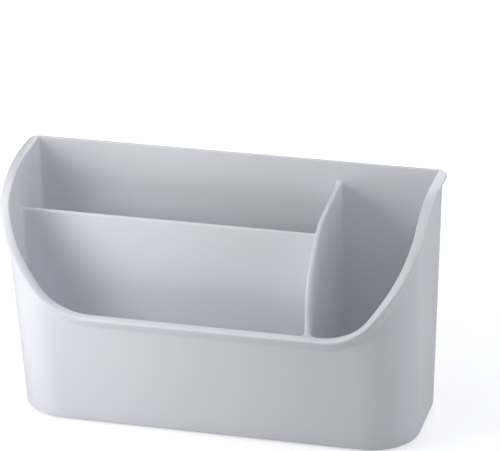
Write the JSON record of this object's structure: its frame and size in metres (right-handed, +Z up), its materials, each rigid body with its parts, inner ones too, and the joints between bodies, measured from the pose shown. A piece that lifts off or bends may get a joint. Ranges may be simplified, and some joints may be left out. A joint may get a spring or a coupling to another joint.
{
  "type": "desk caddy",
  "caption": "White plastic desk caddy with a scooped front, flared lip and dividers that make open compartments for letters, notes and pens.",
  "frame": {"origin": "middle of the bounding box, on the plane the feet stand on", "axes": "+X to the right along the width, +Y towards the flat back wall, +Z up; the low front rim faces -Y"},
  "size_m": [0.2892, 0.1012, 0.1752],
  "materials": {
    "white_plastic": "satin moulded white plastic",
    "foot_rubber": "soft grey rubber"
  },
  "bodies": {
    "root": {"shell": "white_plastic", "letter_divider": "white_plastic", "cross_divider": "white_plastic", "foot_front_left": "foot_rubber", "foot_front_right": "foot_rubber", "foot_back_left": "foot_rubber", "foot_back_right": "foot_rubber"}
  },
  "joints": []
}
